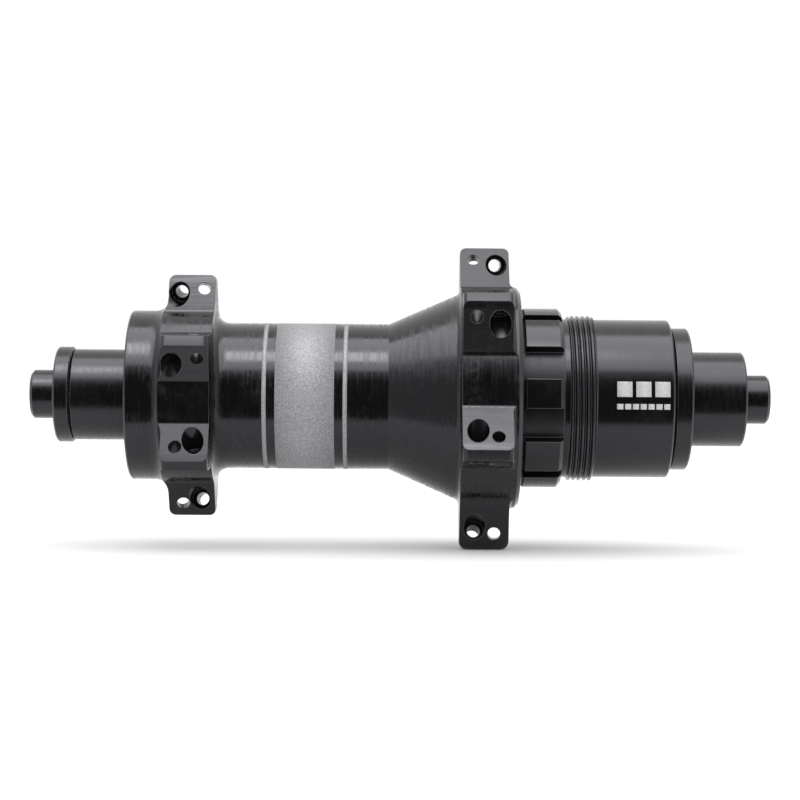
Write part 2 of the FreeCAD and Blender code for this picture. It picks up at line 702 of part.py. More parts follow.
def ratchet_ring():
    """The ring pressed into the shell, with saw teeth around its bore."""
    body = new_body("ratchet_ring", "ratchet_left")
    revolved(body, "turning", (
        ("0", "ratchet_tip_radius"),
        ("ratchet_width", "ratchet_tip_radius"),
        ("ratchet_width", "ratchet_radius", CHAMFER, "edge_break"),
        ("0", "ratchet_radius", CHAMFER, "edge_break")))
    pitch = "360 / ratchet_count"
    inside = "ratchet_tip_radius - ratchet_cut_overlap"
    sketch = new_sketch(body, "tooth_gap_profile", "YZ_Plane", None, "pawl_turn - ratchet_lead")
    outline(sketch, (
        (inside, "0"),
        polar("ratchet_root_radius", f"ratchet_face_share * {pitch}"),
        polar("ratchet_root_radius - ratchet_root_drop", f"ratchet_root_share * {pitch}"),
        polar("ratchet_tip_radius", f"ratchet_ramp_share * {pitch}"),
        polar(inside, f"ratchet_ramp_share * {pitch}")))
    gap = pocketed(body, "tooth_gap", sketch, "ratchet_width")
    around_axle(body, "tooth_gaps", gap, "ratchet_count")


def lip_seal():
    """The rubber ring between the shell's right mouth and the driver's collar."""
    inner = "driver_collar_radius + running_gap"
    outer = "ratchet_radius"
    turned("driver_seal", "lip_seal_left", (
        ("0", f"{outer} - lip_seal_wall"),
        ("lip_seal_width - lip_seal_wall", f"{outer} - lip_seal_wall"),
        ("lip_seal_width - lip_seal_wall", inner),
        ("lip_seal_width", inner),
        ("lip_seal_width", outer),
        ("0", outer)))


# The pawl, its pocket and its spring are drawn about the pawl's pivot: x runs outwards from the axle, and
# -y is the way that the pawl points, which is the way that the driver pushes the shell.

PIVOT = "pawl_pivot_radius"


def pawl_turn_of(number):
    """The angle about the axle at which a pawl's pivot stands."""
    return f"pawl_turn + {number - 1} * 360 / pawl_count"


def pawl(number):
    """One pawl, folded down below the ratchet's tooth tips, with a slot for its spring underneath."""
    body = new_body(f"pawl_{number}", "pawl_left", pawl_turn_of(number))
    heel = "pawl_heel_radius"
    arm = new_sketch(body, "arm_profile", "YZ_Plane")
    outline(arm, (
        (f"{PIVOT} + {heel} * sin(pawl_back_angle * 1deg)", f"-{heel} * cos(pawl_back_angle * 1deg)"),
        (f"{PIVOT} + pawl_back_height", "-pawl_back_reach"),
        (f"{PIVOT} + pawl_tip_top", "-pawl_length"),
        (f"{PIVOT} - pawl_tip_depth", "pawl_tip_rake - pawl_length"),
        (f"{PIVOT} - {heel} * sin(pawl_belly_angle * 1deg)", f"-{heel} * cos(pawl_belly_angle * 1deg)")))
    padded(body, "arm", arm, "pawl_width")
    heel_circle = circle_in(new_sketch(body, "heel_profile", "YZ_Plane"), PIVOT, "0", heel)
    padded(body, "heel", heel_circle, "pawl_width")
    slot = new_sketch(body, "slot_profile", "YZ_Plane", "(pawl_width - pawl_slot_width) / 2")
    outline(slot, (
        (f"{PIVOT} - pawl_slot_top", "-pawl_slot_start"),
        (f"{PIVOT} - pawl_slot_top", "-pawl_slot_end"),
        (f"{PIVOT} - 2 * pawl_tip_depth", "-pawl_slot_end"),
        (f"{PIVOT} - 2 * pawl_tip_depth", "-pawl_slot_start")))
    pocketed(body, "spring_slot", slot, "pawl_slot_width")


def pawl_springs():
    """Four leaf springs that lie on the pocket floors and reach up into the pawls' slots."""
    leaf_width = "(pawl_slot_width - 2 * running_gap)"
    body = new_body("pawl_springs", f"pawl_left + (pawl_width - {leaf_width}) / 2", "pawl_turn")
    body.AllowCompound = True
    rise = "(pawl_pocket_floor - pawl_socket_radius) / pawl_pocket_length"
    seat = "(pawl_slot_start + running_gap)"
    bend = "(pawl_slot_start + pawl_slot_end) / 2"
    tip = "(pawl_slot_end - running_gap)"
    top = f"{PIVOT} - pawl_slot_top - running_gap"
    floor_at = f"{PIVOT} - pawl_socket_radius - {rise} * "
    leaf = outline(new_sketch(body, "leaf_profile", "YZ_Plane"), (
        (f"{floor_at}{seat}", f"-{seat}"),
        (f"{floor_at}{seat} + spring_thickness", f"-{seat}"),
        (f"{floor_at}{bend} + spring_thickness", f"-{bend}"),
        (top, f"-{tip}"),
        (f"{top} - spring_thickness", f"-{tip}"),
        (f"{floor_at}{bend}", f"-{bend}")))
    around_axle(body, "leaves", padded(body, "leaf", leaf, leaf_width), "pawl_count")


# ---------------------------------------------------------------- driver


def pawl_pockets(body):
    """The round sockets and the swing spaces of the four pawls."""
    station = "pawl_left - running_gap"
    depth = "pawl_width + 2 * running_gap"
    socket = new_sketch(body, "socket_profile", "YZ_Plane", station, "pawl_turn")
    circle_in(socket, PIVOT, "0", "pawl_socket_radius")
    swing = new_sketch(body, "swing_profile", "YZ_Plane", station, "pawl_turn")
    lip = "pawl_socket_radius * cos(pawl_socket_wrap * 1deg)"
    outline(swing, (
        (f"{PIVOT} + pawl_socket_radius * sin(pawl_socket_wrap * 1deg)", f"-{lip}"),
        (f"{PIVOT} - pawl_socket_radius", "0"),
        (f"{PIVOT} - pawl_pocket_floor", "-pawl_pocket_length"),
        ("ratchet_root_radius", "-pawl_pocket_length"),
        ("ratchet_root_radius", f"-{lip}")))
    around_axle(body, "pawl_sockets", pocketed(body, "pawl_socket", socket, depth), "pawl_count")
    around_axle(body, "pawl_swings", pocketed(body, "pawl_swing", swing, depth), "pawl_count")


def spline_grooves(body):
    """Three repeats of a wide, a narrow and a wide groove between the band's teeth."""
    near = "narrow_tooth_angle / 2"
    middle = "180 / spline_repeats"
    far = f"360 / spline_repeats - {near}"
    spans = (
        (near, f"{near} + wide_groove_angle"),
        (f"{middle} - narrow_groove_angle / 2", f"{middle} + narrow_groove_angle / 2"),
        (f"{far} - wide_groove_angle", far))
    floor = "spline_groove_radius"
    outside = "spline_radius + cutter_reach"
    for number, (start, end) in enumerate(spans, start=1):
        sketch = new_sketch(body, f"groove_profile_{number}", "YZ_Plane", "spline_left - running_gap",
                            "spline_turn")
        outline(sketch, (
            polar(floor, start) + (floor, 1),
            polar(floor, end),
            polar(outside, end),
            polar(outside, start)))
        groove = pocketed(body, f"groove_{number}", sketch, "spline_width + 2 * running_gap")
        around_axle(body, f"grooves_{number}", groove, "spline_repeats")


def lockring_thread(body):
    """The right-hand thread that the cassette screws onto: one helical V groove."""
    start = "thread_left - thread_pitch / 2"
    outside = "thread_crest_radius + thread_overcut"
    half = "thread_pitch * thread_groove_share / 2"
    profile = outline(new_sketch(body, "thread_profile", "XZ_Plane"), (
        (start, "thread_root_radius"),
        (f"{start} + {half}", outside),
        (f"{start} - {half}", outside)))
    helix = body.newObject("PartDesign::SubtractiveHelix", "thread")
    helix.Profile = profile
    helix.ReferenceAxis = (profile, ["H_Axis"])
    helix.Mode = "pitch-height-angle"
    bind(helix, "Pitch", "thread_pitch")
    bind(helix, "Height", "thread_width + thread_pitch")


def driver_body():
    """The driver: pawl carrier, seal collar, splines, thread and barrel around two bearing seats."""
    body = new_body("driver_body")
    seat = "driver_bearing_radius + press_fit"
    revolved(body, "turning", (
        ("carrier_left", seat),
        ("carrier_left", "carrier_radius", CHAMFER, "edge_break"),
        ("carrier_right", "carrier_radius"),
        ("carrier_right", "driver_collar_radius"),
        ("spline_left", "driver_collar_radius"),
        ("spline_left", "spline_radius", CHAMFER, "edge_break"),
        ("spline_right", "spline_radius", CHAMFER, "spline_chamfer"),
        ("spline_right", "neck_radius"),
        ("thread_left", "neck_radius"),
        ("thread_left", "thread_crest_radius", CHAMFER, "edge_break"),
        ("thread_right", "thread_crest_radius", CHAMFER, "edge_break"),
        ("thread_right", "barrel_radius"),
        ("driver_right", "barrel_radius", CHAMFER, "edge_break"),
        ("driver_right", seat, CHAMFER, "edge_break / 2"),
        ("outer_bearing_left", seat),
        ("outer_bearing_left", "driver_bore_radius"),
        ("inner_bearing_right", "driver_bore_radius"),
        ("inner_bearing_right", seat)))
    pawl_pockets(body)
    spline_grooves(body)
    lockring_thread(body)


# ---------------------------------------------------------------- the whole hub, its checks and its files


def build():
    """Make every piece."""
    axle_pieces()
    o_rings()
    bearing("left_hub_bearing", "left_bearing_left", "hub")
    bearing("right_hub_bearing", "right_bearing_left", "hub")
    bearing("inner_driver_bearing", "inner_bearing_left", "driver")
    bearing("outer_driver_bearing", "outer_bearing_left", "driver")
    hub_shell()
    ratchet_ring()
    lip_seal()
    driver_body()
    for number in range(1, round(value("pawl_count")) + 1):
        pawl(number)
    pawl_springs()
    doc.recompute()


def check():
    """Stop if any object failed or any piece has no sound shape."""
    for item in doc.Objects:
        if "Invalid" in item.State or "Error" in item.State:
            raise RuntimeError(f"{item.Name} failed: {item.State}")
    for piece in pieces():
        if piece.Shape.isNull() or not piece.Shape.isValid():
            raise RuntimeError(f"{piece.Label} has no sound shape")


def pieces():
    """The objects that are pieces of the hub."""
    return [item for item in doc.Objects if item.TypeId in ("PartDesign::Body", "Part::Compound")]


build()
check()
os.makedirs("parts", exist_ok=True)
for piece in pieces():
    piece.Shape.exportStep(f"parts/{piece.Label}.step")
    print(f"{piece.Label}: {len(piece.Shape.Solids)} solids, {piece.Shape.Volume:.1f} mm3")
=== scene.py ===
import math

import bmesh
import bpy
from mathutils import Matrix, Vector


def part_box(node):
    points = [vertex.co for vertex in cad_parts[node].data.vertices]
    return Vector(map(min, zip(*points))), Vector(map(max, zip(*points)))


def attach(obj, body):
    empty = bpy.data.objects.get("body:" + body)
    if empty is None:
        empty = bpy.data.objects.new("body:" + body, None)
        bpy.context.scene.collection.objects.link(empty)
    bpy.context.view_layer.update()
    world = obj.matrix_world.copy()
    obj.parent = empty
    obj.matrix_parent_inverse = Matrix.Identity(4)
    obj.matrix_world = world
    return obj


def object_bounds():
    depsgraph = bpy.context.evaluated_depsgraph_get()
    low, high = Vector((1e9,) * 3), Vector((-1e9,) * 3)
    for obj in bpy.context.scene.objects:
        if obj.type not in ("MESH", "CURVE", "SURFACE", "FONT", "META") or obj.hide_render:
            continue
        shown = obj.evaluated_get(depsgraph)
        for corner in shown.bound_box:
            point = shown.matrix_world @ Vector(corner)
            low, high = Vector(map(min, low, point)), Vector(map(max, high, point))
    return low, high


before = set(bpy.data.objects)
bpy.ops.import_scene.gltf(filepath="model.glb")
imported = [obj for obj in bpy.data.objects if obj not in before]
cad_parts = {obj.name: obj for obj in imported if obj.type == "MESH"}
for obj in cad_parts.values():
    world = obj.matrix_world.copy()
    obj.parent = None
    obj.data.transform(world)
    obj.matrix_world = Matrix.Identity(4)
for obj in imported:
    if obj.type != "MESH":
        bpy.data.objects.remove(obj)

bl_info = {
    "name": "Bicycle rear hub",
    "version": (1, 0, 0),
    "blender": (4, 5, 0),
    "location": "View3D > Sidebar > Rear Hub",
    "description": "Finishes and studio for a straight-pull rear hub with a splined driver",
    "category": "Object",
}

CAD_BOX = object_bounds()
MM = 0.001
FLOAT = "NodeSocketFloat"
VECTOR = "NodeSocketVector"

# Where one finish gives way to another and where the prints lie: stations along the axle, radii about it.
BETWEEN_FLANGES = -20 * MM
LEFT_CORE = 17.1 * MM
RIGHT_CORE = 21.3 * MM
LUG_ROOT = 0.4 * MM
SPLINES_REACH = 18.6 * MM
SPLINE_FLOOR = 15.2 * MM
SPLINE_FOOT = 15.35 * MM
TUBE_RADIUS = 13.8 * MM
BARREL_RADIUS = 14.97 * MM


# ---------------------------------------------------------------- properties


class HubFinish(bpy.types.PropertyGroup):
    """Colours and gloss of the hub's surfaces."""

    anodised: bpy.props.FloatVectorProperty(
        name="Anodised black", description="Colour of the dyed oxide layer",
        subtype="COLOR", size=4, min=0, max=1, default=(0.0045, 0.0043, 0.0048, 1))
    oxide_tint: bpy.props.FloatVectorProperty(
        name="Oxide tint", description="Faint violet cast of the light that the oxide reflects",
        subtype="COLOR", size=4, min=0, max=1, default=(0.95, 0.93, 1.0, 1))
    # Lighter colour along the edges: partly worn oxide, partly a painted highlight where edges catch
    # light. It also tints the dust smudges.
    dust_wear_and_edge_highlight: bpy.props.FloatVectorProperty(
        name="Edge highlight, dust and wear", description="Colour where the oxide is thin along an edge",
        subtype="COLOR", size=4, min=0, max=1, default=(0.13, 0.128, 0.14, 1))
    print_white: bpy.props.FloatVectorProperty(
        name="Printed white", description="Colour of the blocks printed on the driver's barrel",
        subtype="COLOR", size=4, min=0, max=1, default=(0.62, 0.62, 0.62, 1))
    print_silver: bpy.props.FloatVectorProperty(
        name="Printed silver", description="Colour of the bands printed on the tube",
        subtype="COLOR", size=4, min=0, max=1, default=(0.4, 0.4, 0.415, 1))
    steel: bpy.props.FloatVectorProperty(
        name="Bearing steel", description="Colour of the ground steel rings and balls",
        subtype="COLOR", size=4, min=0, max=1, default=(0.58, 0.58, 0.6, 1))
    rubber: bpy.props.FloatVectorProperty(
        name="Seal rubber", description="Colour of the moulded seals",
        subtype="COLOR", size=4, min=0, max=1, default=(0.02, 0.02, 0.021, 1))
    shell_roughness: bpy.props.FloatProperty(
        name="Shell roughness", description="Gloss of the shell's turned surfaces",
        min=0, max=1, default=0.17)
    driver_roughness: bpy.props.FloatProperty(
        name="Driver roughness", description="Gloss of the driver's barrel",
        min=0, max=1, default=0.2)
    edge_softness: bpy.props.FloatProperty(
        name="Edge softness", description="Radius of the light-catching edges",
        subtype="DISTANCE", min=0, max=0.001, default=0.00022)
    tool_pitch: bpy.props.FloatProperty(
        name="Tool pitch", description="Distance between the marks of the turning tool",
        subtype="DISTANCE", min=0.00001, max=0.001, default=0.00009)


class HubPrint(bpy.types.PropertyGroup):
    """Sizes of the plain bands and blocks printed on the hub."""

    band_left: bpy.props.FloatProperty(
        name="Band start", description="Station of the printed bands along the axle",
        subtype="DISTANCE", default=-0.0256)
    band_width: bpy.props.FloatProperty(
        name="Band width", description="Width of the wide printed band",
        subtype="DISTANCE", min=0.0005, default=0.011)
    line_width: bpy.props.FloatProperty(
        name="Line width", description="Width of the thin lines beside the band",
        subtype="DISTANCE", min=0.0001, default=0.0008)
    blocks_reach: bpy.props.FloatProperty(
        name="Blocks start", description="Distance of the printed blocks from the barrel's end",
        subtype="DISTANCE", default=0.0108)
    blocks_width: bpy.props.FloatProperty(
        name="Blocks width", description="Width of each row of blocks along the barrel",
        subtype="DISTANCE", min=0.001, default=0.0098)
    ink: bpy.props.FloatProperty(
        name="Ink", description="Thickness of the printed layer",
        subtype="DISTANCE", min=0.000005, default=0.00003)


class HubStudio(bpy.types.PropertyGroup):
    """The camera and the lights."""

    lens: bpy.props.FloatProperty(
        name="Lens", description="Focal length of the camera", subtype="DISTANCE_CAMERA",
        min=10, default=98.8)
    distance: bpy.props.FloatProperty(
        name="Distance", description="Distance from the camera to the axle",
        subtype="DISTANCE", min=0.1, default=0.4187)
    drop: bpy.props.FloatProperty(
        name="Drop", description="How far the camera stands below the axle",
        subtype="DISTANCE", default=0.0006)
    roll: bpy.props.FloatProperty(
        name="Roll", description="Turn of the camera about its line of sight",
        subtype="ANGLE", default=math.radians(0.463))
    strip_radiance: bpy.props.FloatProperty(
        name="Strip light", description="Brightness of the narrow strip light",
        min=0, default=6.5)
    box_radiance: bpy.props.FloatProperty(
        name="Soft box", description="Brightness of the overhead soft box",
        min=0, default=3.0)
    opening_top: bpy.props.FloatProperty(
        name="Opening top", description="Elevation of the dark opening's upper edge",
        subtype="ANGLE", default=math.radians(30))
    opening_bottom: bpy.props.FloatProperty(
        name="Opening bottom", description="Elevation of the dark opening's lower edge",
        subtype="ANGLE", default=math.radians(-40))
    floor: bpy.props.FloatVectorProperty(
        name="Floor", description="Colour of the plain floor",
        subtype="COLOR", size=4, min=0, max=1, default=(0.9, 0.9, 0.9, 1))


# ---------------------------------------------------------------- node helpers


def add(tree, kind, inputs=None, **settings):
    """A node with its settings; each input is a constant or another node's socket."""
    made = tree.nodes.new(kind)
    for name, setting in settings.items():
        setattr(made, name, setting)
    for name, given in (inputs or {}).items():
        if isinstance(given, bpy.types.NodeSocket):
            tree.links.new(given, made.inputs[name])
        else:
            made.inputs[name].default_value = given
    return made


def sums(tree, operation, first, second=0.0, third=0.0):
    """The output of one Math node."""
    return add(tree, "ShaderNodeMath", {0: first, 1: second, 2: third},
               operation=operation).outputs[0]


def blend(tree, mask, low, high):
    """The output of a colour mix."""
    made = add(tree, "ShaderNodeMix", {0: mask, 6: low, 7: high}, data_type="RGBA")
    return made.outputs[2]


def spread(tree, value, low, high, to_low=0.0, to_high=1.0):
    """A value remapped from one range to another, and clamped."""
    made = add(tree, "ShaderNodeMapRange", {"Value": value, "From Min": low, "From Max": high,
                                            "To Min": to_low, "To Max": to_high})
    return made.outputs[0]


def mottled(tree, noise, low, high):
    """A noise stretched from its usual span to a range of its own."""
    return spread(tree, noise, 0.3, 0.7, low, high)


def new_group(name, inputs, outputs):
    """An empty shader node group with named sockets, or None if it is there already."""
    if name in bpy.data.node_groups:
        return None
    tree = bpy.data.node_groups.new(name, "ShaderNodeTree")
    for socket, kind, default in inputs:
        made = tree.interface.new_socket(socket, in_out="INPUT", socket_type=kind)
        if default is not None:
            made.default_value = default
    for socket, kind in outputs:
        tree.interface.new_socket(socket, in_out="OUTPUT", socket_type=kind)
    return tree


def fine_lines_group():
    """Parallel tool marks across one coordinate, a little uneven along the other."""
    tree = new_group("fine_lines", (("Across", FLOAT, 0.0), ("Along", FLOAT, 0.0),
                                    ("Pitch", FLOAT, 0.0001), ("Wander", FLOAT, 2.5)),
                     (("Lines", FLOAT), ("Bands", FLOAT)))
    if tree is None:
        return
    given = add(tree, "NodeGroupInput").outputs
    count = sums(tree, "DIVIDE", given["Across"], given["Pitch"])
    wander = sums(tree, "MULTIPLY", given["Along"], given["Wander"])
    spot = add(tree, "ShaderNodeCombineXYZ", {"X": count, "Y": wander}).outputs[0]
    lines = add(tree, "ShaderNodeTexNoise", {"Vector": spot, "Scale": 1.0, "Detail": 1.0,
                                             "Roughness": 0.6}).outputs[0]
    slow = sums(tree, "MULTIPLY", count, 0.2)
    wide = add(tree, "ShaderNodeCombineXYZ", {"X": slow, "Y": wander}).outputs[0]
    bands = add(tree, "ShaderNodeTexNoise", {"Vector": wide, "Scale": 1.0, "Detail": 2.0}).outputs[0]
    result = add(tree, "NodeGroupOutput").inputs
    tree.links.new(lines, result["Lines"])
    tree.links.new(bands, result["Bands"])


def smudges_group():
    """Handling marks: large soft blotches with finer breakup inside them."""
    tree = new_group("smudges", (("Place", VECTOR, None), ("Size", FLOAT, 0.01)), (("Smudge", FLOAT),))
    if tree is None:
        return
    given = add(tree, "NodeGroupInput").outputs
    scale = sums(tree, "DIVIDE", 1.0, given["Size"])
    large = add(tree, "ShaderNodeTexNoise", {"Vector": given["Place"], "Scale": scale, "Detail": 3.0,
                                             "Distortion": 1.2}).outputs[0]
    finer = sums(tree, "MULTIPLY", scale, 9.0)
    small = add(tree, "ShaderNodeTexNoise", {"Vector": given["Place"], "Scale": finer,
                                             "Detail": 2.0}).outputs[0]
    patch = spread(tree, large, 0.48, 0.68)
    broken = spread(tree, small, 0.35, 0.7)
    result = add(tree, "NodeGroupOutput").inputs
    tree.links.new(sums(tree, "MULTIPLY", patch, broken), result["Smudge"])


def soft_edges_group():
    """The rounded normal of an edge, and a mask that is 1 along it."""
    tree = new_group("soft_edges", (("Radius", FLOAT, 0.0002),), (("Normal", VECTOR), ("Edge", FLOAT)))
    if tree is None:
        return
    given = add(tree, "NodeGroupInput").outputs
    rounded = add(tree, "ShaderNodeBevel", {"Radius": given["Radius"]}, samples=6).outputs[0]
    flat = add(tree, "ShaderNodeNewGeometry").outputs["Normal"]
    match = add(tree, "ShaderNodeVectorMath", {0: rounded, 1: flat}, operation="DOT_PRODUCT").outputs[1]
    result = add(tree, "NodeGroupOutput").inputs
    tree.links.new(rounded, result["Normal"])
    tree.links.new(spread(tree, match, 0.99, 0.86), result["Edge"])


def grain_group():
    """The even grain of a blasted or moulded surface."""
    tree = new_group("grain", (("Place", VECTOR, None), ("Size", FLOAT, 0.0002)), (("Grain", FLOAT),))
    if tree is None:
        return
    given = add(tree, "NodeGroupInput").outputs
    scale = sums(tree, "DIVIDE", 1.0, given["Size"])
    noise = add(tree, "ShaderNodeTexNoise", {"Vector": given["Place"], "Scale": scale,
                                             "Detail": 2.0, "Roughness": 0.7}).outputs[0]
    result = add(tree, "NodeGroupOutput").inputs
    tree.links.new(noise, result["Grain"])


def grouped(tree, name, **inputs):
    """One of the shared groups placed in a material, with its own values."""
    made = add(tree, "ShaderNodeGroup", node_tree=bpy.data.node_groups[name])
    for socket, given in inputs.items():
        if isinstance(given, bpy.types.NodeSocket):
            tree.links.new(given, made.inputs[socket])
        else:
            made.inputs[socket].default_value = given
    return made.outputs


class Surface:
    """A new material with the coordinates of a turned piece: place, station and radius."""

    def __init__(self, name):
        self.material = bpy.data.materials.new(name)
        self.material.use_nodes = True
        self.tree = self.material.node_tree
        self.tree.nodes.clear()
        self.shader = add(self.tree, "ShaderNodeBsdfPrincipled")
        output = add(self.tree, "ShaderNodeOutputMaterial")
        self.tree.links.new(self.shader.outputs[0], output.inputs["Surface"])
        self.place = add(self.tree, "ShaderNodeTexCoord").outputs["Object"]
        split = add(self.tree, "ShaderNodeSeparateXYZ", {"Vector": self.place}).outputs
        self.station = split["X"]
        across = add(self.tree, "ShaderNodeCombineXYZ", {"Y": split["Y"], "Z": split["Z"]}).outputs[0]
        self.radius = add(self.tree, "ShaderNodeVectorMath", {0: across}, operation="LENGTH").outputs[1]
        self.angle = sums(self.tree, "ARCTAN2", split["Z"], split["Y"])

    def set(self, **values):
        """Constants or sockets on the shader's own inputs; underscores stand for spaces."""
        for name, given in values.items():
            socket = self.shader.inputs[name.replace("_", " ")]
            if isinstance(given, bpy.types.NodeSocket):
                self.tree.links.new(given, socket)
            else:
                socket.default_value = given

    def bump(self, height, depth, normal=None):
        """Bump the surface by a height map of the given depth."""
        inputs = {"Height": height, "Distance": depth, "Strength": 1.0}
        if normal is not None:
            inputs["Normal"] = normal
        made = add(self.tree, "ShaderNodeBump", inputs)
        self.set(Normal=made.outputs[0])


# ---------------------------------------------------------------- finishes


def anodised_shell(look):
    """Black anodised shell: turned tube and cone, milled lugs, lighter edges that are partly thin oxide
    and partly a painted highlight.
    """
    surface = Surface("anodised_shell")
    tree = surface.tree
    turned = grouped(tree, "fine_lines", Across=surface.station, Along=surface.angle,
                     Pitch=look.tool_pitch)
    milled = grouped(tree, "fine_lines", Across=surface.radius, Along=surface.station,
                     Pitch=look.tool_pitch * 3.2, Wander=60.0)
    left_side = sums(tree, "LESS_THAN", surface.station, BETWEEN_FLANGES)
    core = spread(tree, left_side, 0, 1, RIGHT_CORE, LEFT_CORE)
    on_lug = spread(tree, sums(tree, "SUBTRACT", surface.radius, core), 0, LUG_ROOT)
    lines = add(tree, "ShaderNodeMix", {0: on_lug, 2: turned["Lines"], 3: milled["Lines"]}).outputs[0]
    bands = add(tree, "ShaderNodeMix", {0: on_lug, 2: turned["Bands"], 3: milled["Bands"]}).outputs[0]
    smudge = grouped(tree, "smudges", Place=surface.place, Size=9 * MM)["Smudge"]
    edge = grouped(tree, "soft_edges", Radius=look.edge_softness)
    dusty = blend(tree, sums(tree, "MULTIPLY", smudge, 0.05), look.anodised, look.dust_wear_and_edge_highlight)
    # Lighter colour along the edges, in patches: partly worn oxide, partly a painted highlight where the
    # edges catch light.
    highlight_and_wear_mask = sums(tree, "MULTIPLY", edge["Edge"], mottled(tree, bands, 0.25, 0.9))
    surface.set(Base_Color=blend(tree, highlight_and_wear_mask, dusty, look.dust_wear_and_edge_highlight))
    gloss = spread(tree, bands, 0.35, 0.65, look.shell_roughness - 0.07, look.shell_roughness + 0.11)
    rougher = sums(tree, "MULTIPLY_ADD", smudge, 0.16, gloss)
    surface.set(Roughness=sums(tree, "MULTIPLY_ADD", on_lug, 0.06, rougher))
    surface.set(IOR=1.5, Specular_Tint=look.oxide_tint)
    depth = sums(tree, "MULTIPLY", lines, spread(tree, on_lug, 0, 1, 0.2, 1.0))
    surface.bump(depth, 0.01 * MM, edge["Normal"])
    return surface.material


def anodised_driver(look):
    """Black anodised driver: fine turned barrel and thread, blasted floors between the splines."""
    surface = Surface("anodised_driver")
    tree = surface.tree
    turned = grouped(tree, "fine_lines", Across=surface.station, Along=surface.angle,
                     Pitch=look.tool_pitch * 0.8)
    grain = grouped(tree, "grain", Place=surface.place, Size=0.16 * MM)["Grain"]
    inner_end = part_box("driver_body")[0].x
    inboard = sums(tree, "LESS_THAN", surface.station, inner_end + SPLINES_REACH)
    deep = spread(tree, surface.radius, SPLINE_FOOT, SPLINE_FLOOR)
    floor = sums(tree, "MULTIPLY", inboard, deep)
    texture = add(tree, "ShaderNodeMix", {0: floor, 2: turned["Lines"], 3: grain}).outputs[0]
    depth = sums(tree, "MULTIPLY", texture, spread(tree, floor, 0, 1, 0.08, 1.0))
    smudge = grouped(tree, "smudges", Place=surface.place, Size=11 * MM)["Smudge"]
    edge = grouped(tree, "soft_edges", Radius=look.edge_softness)
    dusty = blend(tree, sums(tree, "MULTIPLY", smudge, 0.04), look.anodised, look.dust_wear_and_edge_highlight)
    # Lighter colour along the spline and barrel edges: partly worn oxide, partly a painted highlight
    # where the edges catch light.
    highlight_and_wear_mask = sums(tree, "MULTIPLY", edge["Edge"], 0.75)
    surface.set(Base_Color=blend(tree, highlight_and_wear_mask, dusty, look.dust_wear_and_edge_highlight))
    gloss = mottled(tree, turned["Bands"], look.driver_roughness - 0.04, look.driver_roughness + 0.05)
    surface.set(Roughness=sums(tree, "MULTIPLY_ADD", floor, 0.2, gloss))
    surface.set(IOR=1.5, Specular_Tint=look.oxide_tint)
    surface.bump(depth, 0.016 * MM, edge["Normal"])
    return surface.material


def anodised_cap(look):
    """Black anodised caps and spacer, turned fine and a little more matte than the shell."""
    surface = Surface("anodised_cap")
    tree = surface.tree
    turned = grouped(tree, "fine_lines", Across=sums(tree, "ADD", surface.station, surface.radius),
                     Along=surface.angle, Pitch=look.tool_pitch)
    smudge = grouped(tree, "smudges", Place=surface.place, Size=6 * MM)["Smudge"]
    edge = grouped(tree, "soft_edges", Radius=look.edge_softness)
    # Lighter colour along the edges: partly worn oxide, partly a painted highlight where the edges catch
    # light.
    surface.set(Base_Color=blend(tree, edge["Edge"], look.anodised, look.dust_wear_and_edge_highlight))
    gloss = mottled(tree, turned["Bands"], look.driver_roughness, look.driver_roughness + 0.1)
    surface.set(Roughness=sums(tree, "MULTIPLY_ADD", smudge, 0.1, gloss))
    surface.set(IOR=1.5, Specular_Tint=look.oxide_tint)
    surface.bump(turned["Lines"], 0.0014 * MM, edge["Normal"])
    return surface.material


def bare_metal(name, look, colour, roughness, pitch):
    """Uncoated metal with turning or grinding marks."""
    surface = Surface(name)
    tree = surface.tree
    marks = grouped(tree, "fine_lines", Across=sums(tree, "ADD", surface.station, surface.radius),
                    Along=surface.angle, Pitch=pitch)
    smudge = grouped(tree, "smudges", Place=surface.place, Size=4 * MM)["Smudge"]
    edge = grouped(tree, "soft_edges", Radius=look.edge_softness)
    oiled = tuple(channel * 0.55 for channel in colour[:3]) + (1,)
    surface.set(Base_Color=blend(tree, sums(tree, "MULTIPLY", smudge, 0.5), colour, oiled))
    surface.set(Metallic=1.0)
    surface.set(Roughness=mottled(tree, marks["Bands"], roughness - 0.06, roughness + 0.08))
    surface.bump(marks["Lines"], 0.0015 * MM, edge["Normal"])
    return surface.material


def moulded(name, look, colour, roughness):
    """Moulded rubber or plastic with a fine even grain."""
    surface = Surface(name)
    tree = surface.tree
    grain = grouped(tree, "grain", Place=surface.place, Size=0.12 * MM)["Grain"]
    smudge = grouped(tree, "smudges", Place=surface.place, Size=5 * MM)["Smudge"]
    edge = grouped(tree, "soft_edges", Radius=look.edge_softness)
    pale = tuple(min(1, channel * 1.8) for channel in colour[:3]) + (1,)
    surface.set(Base_Color=blend(tree, sums(tree, "MULTIPLY", smudge, 0.4), colour, pale))
    surface.set(Roughness=mottled(tree, grain, roughness - 0.05, roughness + 0.08))
    surface.bump(grain, 0.004 * MM, edge["Normal"])
    return surface.material


def printed_ink(name, look, colour, metallic, roughness, flake):
    """Printed ink, slightly uneven where it covers the turning marks, with flakes of the given size."""
    surface = Surface(name)
    tree = surface.tree
    grain = grouped(tree, "grain", Place=surface.place, Size=flake)["Grain"]
    lines = grouped(tree, "fine_lines", Across=surface.station, Along=surface.angle,
                    Pitch=look.tool_pitch * 2)["Lines"]
    dull = tuple(channel * 0.45 for channel in colour[:3]) + (1,)
    surface.set(Base_Color=blend(tree, spread(tree, grain, 0.36, 0.62), colour, dull))
    surface.set(Metallic=metallic)
    surface.set(Roughness=mottled(tree, lines, roughness - 0.04, roughness + 0.06))
    surface.bump(lines, 0.001 * MM)
    return surface.material


